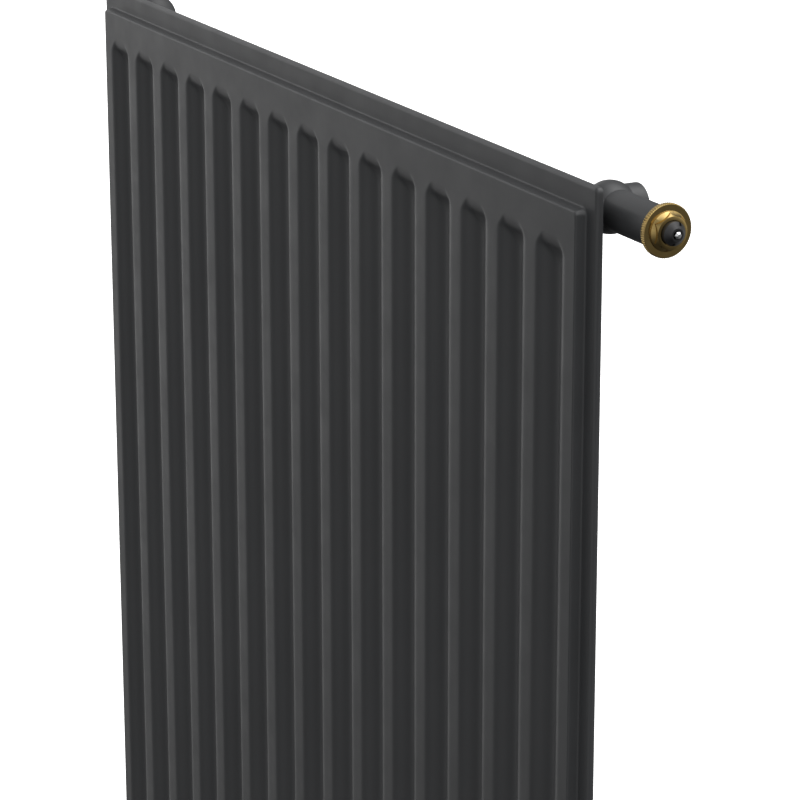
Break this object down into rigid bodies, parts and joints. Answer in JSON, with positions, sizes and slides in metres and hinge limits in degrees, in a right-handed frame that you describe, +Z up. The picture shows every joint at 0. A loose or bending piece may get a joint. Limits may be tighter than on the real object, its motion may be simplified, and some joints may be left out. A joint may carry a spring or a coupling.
{
  "type": "panel radiator with built-in valve",
  "caption": "Fluted steel panel radiator, wall hung, with rear convector, corner hubs, riser and a side valve insert ready for a thermostat head.",
  "frame": {"origin": "middle of the panel's width, level with its bottom edge, in the wall plane through the backs of the hanging lugs", "axes": "+X along the panel towards the valve, +Y into the wall, +Z up"},
  "size_m": [0.8446, 0.064, 0.9],
  "materials": {
    "paint": "satin anthracite powder coat",
    "painted_back": "satin anthracite coat, thinner on the back",
    "brass": "turned and polished",
    "nickel": "nickel plated",
    "bright_steel": "bright ground",
    "black_plastic": "satin moulded",
    "white_plastic": "satin moulded",
    "rubber": "matt"
  },
  "bodies": {
    "root": {"front_sheet": "paint", "rear_sheet": "paint", "valve_tee": "paint", "tee_rear_cap": "paint", "vent_hub": "paint", "blank_hub": "paint", "return_hub": "paint", "riser_pipe": "paint", "flow_socket": "paint", "convector_fin_01": "painted_back", "convector_fin_02": "painted_back", "convector_fin_03": "painted_back", "convector_fin_04": "painted_back", "convector_fin_05": "painted_back", "convector_fin_06": "painted_back", "convector_fin_07": "painted_back", "convector_fin_08": "painted_back", "convector_fin_09": "painted_back", "convector_fin_10": "painted_back", "convector_fin_11": "painted_back", "convector_fin_12": "painted_back", "hanger_lug_upper_left": "painted_back", "hanger_lug_upper_right": "painted_back", "hanger_lug_lower_left": "painted_back", "hanger_lug_lower_right": "painted_back", "insert_body": "brass", "spindle_guide": "brass", "blind_plug": "nickel", "air_vent_plug": "nickel", "return_spring": "bright_steel", "insert_flange_seal": "rubber", "insert_end_seal": "rubber", "blind_plug_seal": "rubber", "vent_plug_seal": "rubber"},
    "stem": {"valve_pin": "bright_steel", "valve_spindle": "bright_steel", "spring_plate": "brass", "disc_holder": "brass", "valve_disc": "rubber"},
    "presetting": {"setting_ring": "black_plastic", "throttle_sleeve": "brass", "gland_bush": "brass", "gland_seal": "rubber"},
    "vent_tip": {"vent_seal": "rubber"},
    "vent_screw": {"bleed_screw": "bright_steel"},
    "spout": {"vent_spout": "white_plastic"}
  },
  "joints": [
    {"name": "pin_press", "type": "slide", "parent": "presetting", "child": "stem", "axis": [-1, 0, 0], "range_m": [0, 0.0026], "stiffness_N_per_m": 2500, "springref_m": -0.004, "deforming": ["return_spring"]},
    {"name": "presetting_turn", "type": "hinge", "parent": "root", "child": "presetting", "pos_m": [0.431, -0.027, 0.8772], "axis": [1, 0, 0], "range_deg": [0, 315]},
    {"name": "vent_tip_travel", "type": "slide", "parent": "root", "child": "vent_tip", "axis": [-1, 0, 0], "range_m": [0, 0.0015]},
    {"name": "bleed_screw_turn", "type": "hinge", "parent": "vent_tip", "child": "vent_screw", "pos_m": [-0.362, -0.027, 0.8772], "axis": [-1, 0, 0], "range_deg": [0, 720]},
    {"name": "vent_spout_swivel", "type": "hinge", "parent": "root", "child": "spout", "pos_m": [-0.362, -0.027, 0.8772], "axis": [-1, 0, 0], "continuous": true}
  ],
  "couplings": [
    {"joint": "bleed_screw_turn", "follows": "vent_tip_travel", "rad_per_m": 8377.6}
  ]
}
